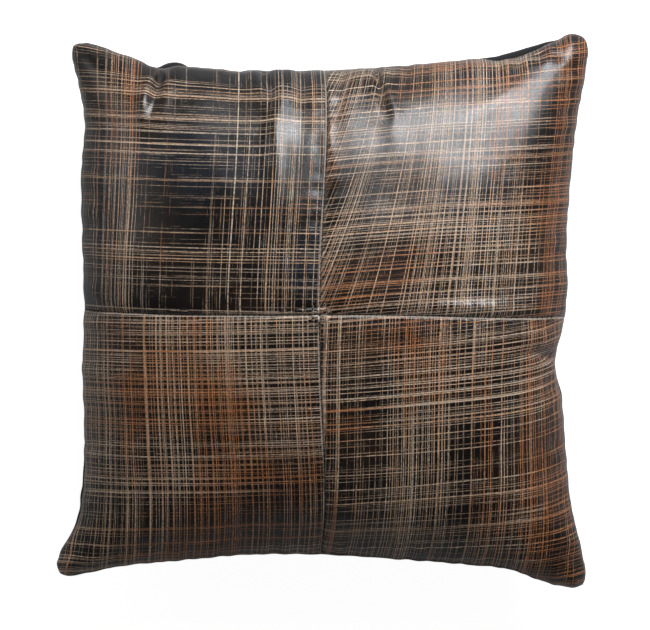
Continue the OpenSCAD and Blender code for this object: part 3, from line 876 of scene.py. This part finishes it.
class PILLOW_OT_insert(bpy.types.Operator):
    """Builds the insert's cotton case, its stitching and its filling"""

    bl_idname = "pillow.insert"
    bl_label = "Insert"

    def execute(self, context):
        bend = 0.97 * math.pi / 2
        places = np.sin(np.linspace(-1, 1, 91) * bend) / math.sin(bend)
        cotton = cloth("cotton_case", (0.66, 0.63, 0.57), 0.0007, 0.9)
        for name, side in (("front", 1), ("back", -1)):
            piece = inner_sheet("cotton_case_" + name, side, places, CASE_IN, 6.2 * MM, 3.2 * MM,
                                lambda p: 0.7 * MM * dents(p, 44, 0.05), SEWN_GAP)
            thicken(piece, 0.5 * MM)
            settle(piece, cotton, ["insert_case_" + name])
        frames = []
        for side, half in HALF_OF.items():
            points = side_curve(side, np.arange(-0.9, 0.9, 6 * MM / half))
            points = points * (1 - CASE_STITCH_IN / HALF_W, 1 - CASE_STITCH_IN / HALF_H)
            turns = np.gradient(points, axis=0)
            frames += [facing((*q, SEAM_Z), (*d, 0), (0, 0, 1)) for q, d in zip(points, turns)]
        thread = cloth("cotton_thread", (0.60, 0.57, 0.51), 0.0003, 0.7)
        piece = copies("sewn_insert", stitch(5.5 * MM, 0.6 * MM), frames)
        settle(piece, thread, ["insert_thread"])
        self.filling(places)
        return {"FINISHED"}

    def filling(self, places):
        """One lofted, lumpy block of fibre, closed at its edge."""
        sheets = [inner_sheet("fibre", side, places, FILLING_IN, 9.0 * MM, 5.5 * MM,
                              lambda p: -0.8 * MM * (1 + dents(p, 57, 0.03)), 0)
                  for side in (1, -1)]
        only(sheets[0])
        sheets[1].select_set(True)
        bpy.ops.object.join()
        piece = bpy.context.active_object
        piece.name = "fibre_filling"
        bpy.ops.object.mode_set(mode="EDIT")
        bpy.ops.mesh.select_all(action="SELECT")
        bpy.ops.mesh.remove_doubles(threshold=0.00002)
        bpy.ops.object.mode_set(mode="OBJECT")
        settle(piece, cloth("fibre", (0.84, 0.83, 0.80), 0.004, 0.95),
               ["insert_filling"])


# ---- Materials ----

def put(tree, inputs, values):
    """Links each value that is a socket, and sets any other."""
    for key, value in values.items():
        if isinstance(value, bpy.types.NodeSocket):
            tree.links.new(value, inputs[key])
        else:
            inputs[key].default_value = value


class Nodes:
    """Adds nodes to a tree, and links or sets their inputs. Most return their one output."""

    def __init__(self, tree):
        self.tree = tree

    def add(self, kind, values=None, **options):
        node = self.tree.nodes.new(kind)
        for key, value in options.items():
            setattr(node, key, value)
        put(self.tree, node.inputs, values or {})
        return node

    def math(self, operation, *values):
        return self.add("ShaderNodeMath", dict(enumerate(values)),
                        operation=operation).outputs[0]

    def ramp(self, value, low, high, out_low=0.0, out_high=1.0):
        return self.add("ShaderNodeMapRange", {
            "Value": value, "From Min": low, "From Max": high,
            "To Min": out_low, "To Max": out_high}).outputs[0]

    def mix(self, share, a, b):
        colours = [c if isinstance(c, bpy.types.NodeSocket) else (*c, 1) for c in (a, b)]
        return self.add("ShaderNodeMix", {0: share, 6: colours[0], 7: colours[1]},
                        data_type="RGBA").outputs[2]

    def noise(self, vector, scale, detail=2.0, rough=0.5):
        return self.add("ShaderNodeTexNoise", {
            "Vector": vector, "Scale": scale, "Detail": detail, "Roughness": rough}).outputs[0]

    def xyz(self, x, y, z=0.0):
        return self.add("ShaderNodeCombineXYZ", {0: x, 1: y, 2: z}).outputs[0]

    def parts(self, vector):
        return self.add("ShaderNodeSeparateXYZ", {0: vector}).outputs

    def place(self, kind="Object"):
        return self.add("ShaderNodeTexCoord").outputs[kind]

    def rubbed(self, vector, scale, amount):
        return use(self, wear_effect(), Vector=vector, Scale=scale, Amount=amount)["Mask"]

    def camera_ray(self):
        return self.add("ShaderNodeLightPath").outputs["Is Camera Ray"]

    def times(self, a, b):
        return self.math("MULTIPLY", a, b)

    def plus(self, a, b):
        return self.math("ADD", a, b)

    def bump_at(self, value, middle, half):
        """1 at the middle, dying out smoothly half a width away."""
        off = self.math("DIVIDE", self.math("SUBTRACT", value, middle), half)
        return self.math("EXPONENT", self.times(self.times(off, off), -1.0))


def effect(name, inputs, outputs, build):
    """A shader node group, built once, with the named inputs and outputs."""
    made = bpy.data.node_groups.get(name)
    if made:
        return made
    tree = bpy.data.node_groups.new(name, "ShaderNodeTree")
    for way, titles in (("INPUT", inputs), ("OUTPUT", outputs)):
        for title in titles:
            kind = "NodeSocketVector" if title == "Vector" else "NodeSocketFloat"
            tree.interface.new_socket(title, in_out=way, socket_type=kind)
    nodes = Nodes(tree)
    start = nodes.add("NodeGroupInput")
    end = nodes.add("NodeGroupOutput")
    put(tree, end.inputs, build(nodes, start.outputs))
    return tree


def use(nodes, tree, **values):
    """Adds a node group, and returns its outputs."""
    node = nodes.add("ShaderNodeGroup", node_tree=tree)
    put(nodes.tree, node.inputs, values)
    return node.outputs


def strokes_effect():
    """Thin dry brush lines that run along Y, each with its own strength and tone."""
    def build(n, i):
        part = n.parts(i["Vector"])
        drift = n.noise(n.xyz(n.times(part[0], 14.0), part[1], i["Seed"]), 7.0, 4.0, 0.65)
        x = n.plus(n.math("DIVIDE", part[0], i["Pitch"]), n.times(drift, i["Waver"]))
        x = n.plus(x, n.times(i["Seed"], 13.7))
        line = n.add("ShaderNodeTexVoronoi", {"W": x, "Scale": 1.0}, voronoi_dimensions="1D")
        own = n.add("ShaderNodeSeparateColor", {0: line.outputs["Color"]}).outputs
        # The paint runs out and comes again along a line, at its own places
        dry = n.noise(n.xyz(n.times(own[2], 50.0),
                            n.math("DIVIDE", part[1], i["Reach"]), i["Seed"]), 1.0, 4.0, 0.7)
        laid = n.plus(n.times(own[0], 0.6), n.times(dry, 0.9))
        start = n.math("SUBTRACT", 1.25, i["Share"])
        laid = n.ramp(laid, start, n.plus(start, 0.30))
        width = n.times(i["Width"], n.plus(n.times(own[1], 0.9), 0.5))
        side = n.math("SUBTRACT", 1.0, n.math("DIVIDE", line.outputs["Distance"], width))
        mask = n.times(n.ramp(side, 0.0, 0.5), laid)
        return {"Mask": mask, "Tone": own[2]}
    return effect("Brush Strokes",
                  ["Vector", "Pitch", "Reach", "Width", "Waver", "Share", "Seed"],
                  ["Mask", "Tone"], build)


def grain_effect():
    """The pebbled grain of leather."""
    def build(n, i):
        warp = n.noise(i["Vector"], 260.0, 2.0)
        place = n.add("ShaderNodeVectorMath", {0: i["Vector"], 1: n.xyz(
            n.times(warp, 0.0004), n.times(warp, 0.0003))},
            operation="ADD").outputs[0]
        cell = n.add("ShaderNodeTexVoronoi", {"Vector": place, "Scale": n.math(
            "DIVIDE", 1.0, i["Size"])}, feature="DISTANCE_TO_EDGE").outputs["Distance"]
        pebble = n.ramp(cell, 0.0, 0.4)
        pore = n.noise(place, 2400.0, 3.0, 0.6)
        height = n.plus(n.times(pebble, 0.7), n.times(pore, 0.3))
        return {"Height": height, "Pores": pore}
    return effect("Leather Grain", ["Vector", "Size"], ["Height", "Pores"], build)


def weave_effect():
    """A plain weave: threads over and under each other."""
    def build(n, i):
        part = n.parts(i["Vector"])
        turns = n.math("DIVIDE", 2 * math.pi, i["Pitch"])
        a = n.math("SINE", n.times(part[0], turns))
        b = n.math("SINE", n.times(part[1], turns))
        slub = n.noise(i["Vector"], 900.0, 3.0, 0.6)
        over = n.times(a, b)
        height = n.plus(n.times(over, 0.4), slub)
        # Shade is lower where the weave sinks: painted shade between the threads, together with the
        # yarn's own tone from the slub
        return {"Height": height, "Shade": n.ramp(height, 0.0, 1.0, 0.65, 1.25)}
    return effect("Plain Weave", ["Vector", "Pitch"], ["Height", "Shade"], build)


def wear_effect():
    """Where a surface is rubbed: patchy, and stronger as Amount goes to 1."""
    def build(n, i):
        cloud = n.noise(i["Vector"], i["Scale"], 4.0, 0.65)
        low = n.math("SUBTRACT", 0.75, n.times(i["Amount"], 0.5))
        return {"Mask": n.ramp(cloud, low, n.plus(low, 0.15))}
    return effect("Rubbed Wear", ["Vector", "Scale", "Amount"], ["Mask"], build)


def new_material(name, **constants):
    """A material with one shader, and what stays the same all over it."""
    made = bpy.data.materials.get(name) or bpy.data.materials.new(name)
    made.use_nodes = True
    made.node_tree.nodes.clear()
    nodes = Nodes(made.node_tree)
    out = nodes.add("ShaderNodeOutputMaterial")
    shader = nodes.add("ShaderNodeBsdfPrincipled")
    made.node_tree.links.new(shader.outputs[0], out.inputs[0])
    for key, value in constants.items():
        shader.inputs[key.replace("_", " ")].default_value = value
    return made, nodes, shader


def connect(nodes, shader, height, strength, distance, **values):
    """Links what changes over the surface, with a bump from its height."""
    bump = nodes.add("ShaderNodeBump", {"Height": height, "Strength": strength,
                                        "Distance": distance}).outputs[0]
    nodes.tree.links.new(bump, shader.inputs["Normal"])
    for key, value in values.items():
        nodes.tree.links.new(value, shader.inputs[key.replace("_", " ")])


# Strokes, from the finest to the boldest: pitch, reach, width, waver, share, strength
STROKES = [(0.0026, 0.018, 0.125, 0.8, 0.64, 0.80), (0.0044, 0.040, 0.095, 0.5, 0.60, 1.0),
           (0.0125, 0.080, 0.042, 0.25, 0.76, 1.0)]

# Each panel's own brushing: seed, warmth, density, blue
BRUSHING = {"front_upper_left": (1.3, 0.34, -0.42, 0.50),
            "front_upper_right": (5.7, 0.60, 0.74, 0.60),
            "front_lower_left": (9.1, 0.56, 1.00, 0.0),
            "front_lower_right": (14.9, 0.60, 0.50, 0.05)}

# Where each panel was brushed more (or less): strokes that run down (0) or across (1),
# the band's middle and half-width in metres, and how much more
BANDS = {
    "front_upper_left": [(1, 0.158, 0.006, 0.5), (1, 0.049, 0.010, 0.4), (0, -0.165, 0.02, 0.2),
                         (0, -0.040, 0.012, 0.2), (1, 0.185, 0.015, 0.25),
                         (0, -0.115, 0.02, -0.1)],
    "front_upper_right": [(0, 0.100, 0.030, 0.70), (0, 0.020, 0.030, -0.30),
                          (1, 0.060, 0.020, 0.2), (0, 0.155, 0.02, -0.1)],
    "front_lower_left": [(0, -0.106, 0.025, 0.30), (1, -0.055, 0.030, 0.25),
                         (1, -0.170, 0.030, -0.35), (0, -0.185, 0.015, -0.1)],
    "front_lower_right": [(0, 0.080, 0.012, 0.35), (0, 0.137, 0.008, 0.35), (0, 0.175, 0.010, 0.3),
                          (1, -0.120, 0.025, -0.2), (1, -0.050, 0.03, 0.15)],
}

# The strip of each panel where rust strokes gather: its middle in x and its half-width in
# metres, and how much more of them there are
RUSTY = {"front_upper_left": (-0.160, 0.040, 0.08), "front_upper_right": (0.207, 0.026, 0.30),
         "front_lower_left": (-0.110, 0.050, 0.10), "front_lower_right": (0.205, 0.030, 0.20)}


def leather(name, s, panel):
    """Semi-gloss leather, dark and patchy, under crossing brush strokes."""
    seed, warmth, density, blue = BRUSHING[panel]
    made, n, shader = new_material(name, Specular_IOR_Level=0.65, Coat_Weight=0.3,
                                   Coat_Roughness=0.22)
    brush = n.add("ShaderNodeUVMap", uv_map="brush").outputs[0]
    near = n.parts(n.add("ShaderNodeUVMap", uv_map="panel").outputs[0])
    part = n.parts(brush)
    down, across = n.xyz(part[0], part[1], seed), n.xyz(part[1], part[0], seed + 3)
    cloud = n.noise(down, 13.0, 2.0)
    colour = n.mix(n.ramp(cloud, 0.62 - 0.2 * blue, 0.72 - 0.2 * blue), s.base, s.navy)
    brown = n.noise(n.xyz(part[0], part[1], seed + 20), 11.0, 2.0)
    colour = n.mix(n.ramp(brown, 0.50, 0.68), colour, s.umber)
    place, half, rust_more = RUSTY[panel]
    rusty = n.bump_at(part[0], place, half)
    strokes = strokes_effect()
    painted = 0.0
    for k, (pitch, reach, width, waver, share, strength) in enumerate(STROKES):
        for vector, turn in ((down, 0), (across, 40)):
            # Bands of closer and of warmer strokes
            cut = n.parts(vector)
            band = n.noise(n.xyz(cut[0], n.times(cut[1], 0.25), seed + turn + 60),
                           22.0, 2.0, 0.6)
            warm = n.noise(n.xyz(cut[0], n.times(cut[1], 0.3), seed + turn + 80),
                           17.0, 2.0)
            warm = n.plus(warm, n.times(rusty, rust_more))
            middle = share + 0.2 * (density - 0.5)
            for run, place, half, more in BANDS[panel]:
                if run == (turn > 0):
                    band = n.plus(band, n.times(n.bump_at(cut[0], place, half), 0.7 * more))
            laid = use(n, strokes, Vector=vector, Pitch=pitch, Reach=reach, Width=width,
                       Waver=waver, Seed=seed + 7.0 * k + turn,
                       Share=n.ramp(band, 0.3, 0.9, middle - 0.22, middle + 0.5))
            pale = n.mix(laid["Tone"], s.tan, s.cream)
            hue = n.mix(n.ramp(warm, 0.62 - 0.2 * warmth, 0.74 - 0.2 * warmth), pale, s.rust)
            beads = n.ramp(n.noise(down, 700.0 - 150 * k, 2.0, 0.7), 0.40, 0.58, 0.3, 1.0)
            shown = n.times(laid["Mask"], n.times(beads, strength))
            colour = n.mix(shown, colour, hue)
            painted = n.math("MAXIMUM", laid["Mask"], painted)
    # The pale line along the lip at each cross seam, wider and stronger on the panel that stands
    # proud: partly the leather's worn edge, partly a painted highlight along the fold of the lip
    qx, qy = PANELS[panel]
    lip_wear_and_highlight = 0.0
    for axis, proud in ((0, qx < 0), (1, qy < 0)):
        width = 0.0015 if proud else 0.0004
        chip = n.noise(down, 420.0, 2.0)
        edge = n.plus(near[axis], n.times(chip, 0.0006))
        shown = n.ramp(edge, width, width + 0.0004, 0.8 if proud else 0.2, 0.0)
        lip_wear_and_highlight = n.math("MAXIMUM", lip_wear_and_highlight, shown)
    colour = n.mix(lip_wear_and_highlight, colour, s.edge)
    grain = use(n, grain_effect(), Vector=down, Size=0.0011)
    rubbed = n.rubbed(down, 55.0, 0.35)
    rough = n.plus(n.ramp(grain["Pores"], 0.3, 0.7, 0.23, 0.33), n.times(painted, 0.06))
    rough = n.plus(rough, n.times(rubbed, 0.06))
    height = n.plus(n.times(grain["Height"], 0.8), n.times(painted, 0.35))
    connect(n, shader, height, 0.5, 0.00022, Base_Color=colour, Roughness=rough)
    return made


def cloth(name, colour, pitch, rough):
    """Woven cloth or thread."""
    made, n, shader = new_material(name, Sheen_Weight=0.12)
    vector = n.place()
    weave = use(n, weave_effect(), Vector=vector, Pitch=pitch)
    rubbed = n.rubbed(vector, 70.0, 0.3)
    dark = tuple(c * 0.6 for c in colour)
    light = tuple(min(1.0, c * 1.5 + 0.004) for c in colour)
    # Darker where the weave sinks: painted shade between the threads, plus the yarn's own tone
    shade = n.mix(n.ramp(weave["Shade"], 0.65, 1.25), dark, colour)
    shade = n.mix(n.times(rubbed, 0.5), shade, light)
    roughness = n.ramp(weave["Shade"], 0.65, 1.25, rough, min(1.0, rough + 0.08))
    connect(n, shader, weave["Height"], 0.5, pitch * 0.25, Base_Color=shade, Roughness=roughness)
    return made


def plastic(name, colour):
    """Moulded nylon, a little scuffed."""
    made, n, shader = new_material(name)
    vector = n.place()
    rubbed = n.rubbed(vector, 400.0, 0.4)
    fine = n.noise(vector, 3000.0, 3.0)
    shade = n.mix(n.times(rubbed, 0.4), colour, tuple(c * 2.2 for c in colour))
    connect(n, shader, fine, 0.3, 0.00005, Base_Color=shade,
            Roughness=n.ramp(fine, 0.3, 0.7, 0.32, 0.5))
    return made


def metal_look(name, colour, rough):
    """Metal with a worn finish and fine tool marks."""
    made, n, shader = new_material(name, Metallic=1.0)
    vector = n.place()
    rubbed = n.rubbed(vector, 500.0, 0.45)
    part = n.parts(vector)
    marks = n.noise(n.xyz(n.times(part[0], 0.08), part[1], part[2]), 9000.0, 2.0)
    bright = tuple(min(1.0, c * 1.8 + 0.05) for c in colour)
    shade = n.mix(rubbed, colour, bright)
    connect(n, shader, marks, 0.2, 0.00003, Base_Color=shade,
            Roughness=n.ramp(marks, 0.3, 0.7, rough - 0.06, rough + 0.12))
    return made


# ---- Stage ----

class PILLOW_OT_stage(bpy.types.Operator):
    """Lays the floor, hangs the lights and sets the camera straight above"""

    bl_idname = "pillow.stage"
    bl_label = "Stage"

    def execute(self, context):
        scene = context.scene
        bpy.ops.object.select_all(action="DESELECT")
        bpy.ops.mesh.primitive_plane_add(size=12)
        floor = context.active_object
        floor.name = "floor"
        made, n, shader = new_material("pale_floor", Roughness=0.9, Specular_IOR_Level=0.2,
                                       Emission_Color=(1, 1, 1, 1))
        vector = n.place()
        mottle = n.noise(vector, 3.0, 3.0)
        n.tree.links.new(n.mix(n.ramp(mottle, 0.3, 0.7), (0.50, 0.50, 0.50), (0.54, 0.54, 0.54)),
                         shader.inputs["Base Color"])
        # The paper shows white and yet throws little light back on the leather
        put(n.tree, shader.inputs, {"Emission Strength": n.times(n.camera_ray(), 0.95)})
        floor.data.materials.append(made)
        middle = Vector((0, 0, SEAM_Z))
        lights = [("key", (0.62, 1.32, 1.28), (1.35, 0.7), 35, (0.93, 0.96, 1.0)),
                  ("left", (-1.45, 0.75, 1.0), (0.8, 0.8), 2.0, (1.0, 0.99, 0.97))]
        for name, place, size, watts, colour in lights:
            data = bpy.data.lights.new(name, "AREA")
            data.shape, data.size, data.size_y = "RECTANGLE", *size
            data.energy, data.color = watts, colour
            lamp = linked(name, data)
            lamp.location = place
            lamp.rotation_euler = (middle - Vector(place)).to_track_quat("-Z", "Y").to_euler()
        world = bpy.data.worlds.new("pale_world")
        world.use_nodes = True
        n = Nodes(world.node_tree)
        backdrop = world.node_tree.nodes["Background"]
        # Bright toward the horizon, dark overhead, so that the sides are lit and the top
        # keeps its depth
        up = n.parts(n.place("Generated"))[2]
        room = n.ramp(up, 0.0, 0.6, 0.30, 0.05)
        white = n.times(n.camera_ray(), 0.9)
        n.tree.links.new(n.math("MAXIMUM", room, white), backdrop.inputs["Strength"])
        backdrop.inputs["Color"].default_value = (1, 1, 1, 1)
        scene.world = world
        scene.view_settings.view_transform = "Standard"
        data = bpy.data.cameras.new("camera")
        camera = linked("camera", data)
        # The camera's height over the seam, and the width that it sees there
        height, width = 2.4, 0.5265
        data.sensor_width = 36
        data.lens = 36 * height / width
        camera.location = (0.0032, 0, SEAM_Z + height)
        data.clip_end = 20
        scene.camera = camera
        return {"FINISHED"}


STEPS_IN_ORDER = [PILLOW_OT_front_panels, PILLOW_OT_back_panel, PILLOW_OT_thread,
                  PILLOW_OT_care_label, PILLOW_OT_zip, PILLOW_OT_insert, PILLOW_OT_stage]


class PILLOW_PT_panel(bpy.types.Panel):
    """Lists the pillow's sizes, colours and building steps"""

    bl_idname = "PILLOW_PT_panel"
    bl_label = "Pillow"
    bl_space_type = "VIEW_3D"
    bl_region_type = "UI"
    bl_category = "Pillow"

    def draw(self, context):
        for name in PillowSettings.__annotations__:
            self.layout.prop(context.scene.pillow, name)
        for step in STEPS_IN_ORDER:
            self.layout.operator(step.bl_idname)


CLASSES = [PillowSettings, *STEPS_IN_ORDER, PILLOW_PT_panel]


def register():
    for made in CLASSES:
        bpy.utils.register_class(made)
    bpy.types.Scene.pillow = PointerProperty(type=PillowSettings)


def unregister():
    del bpy.types.Scene.pillow
    for made in reversed(CLASSES):
        bpy.utils.unregister_class(made)


def main():
    register()
    for step in STEPS_IN_ORDER:
        group, name = step.bl_idname.split(".")
        getattr(getattr(bpy.ops, group), name)()
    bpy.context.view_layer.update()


if __name__ == "__main__":
    main()
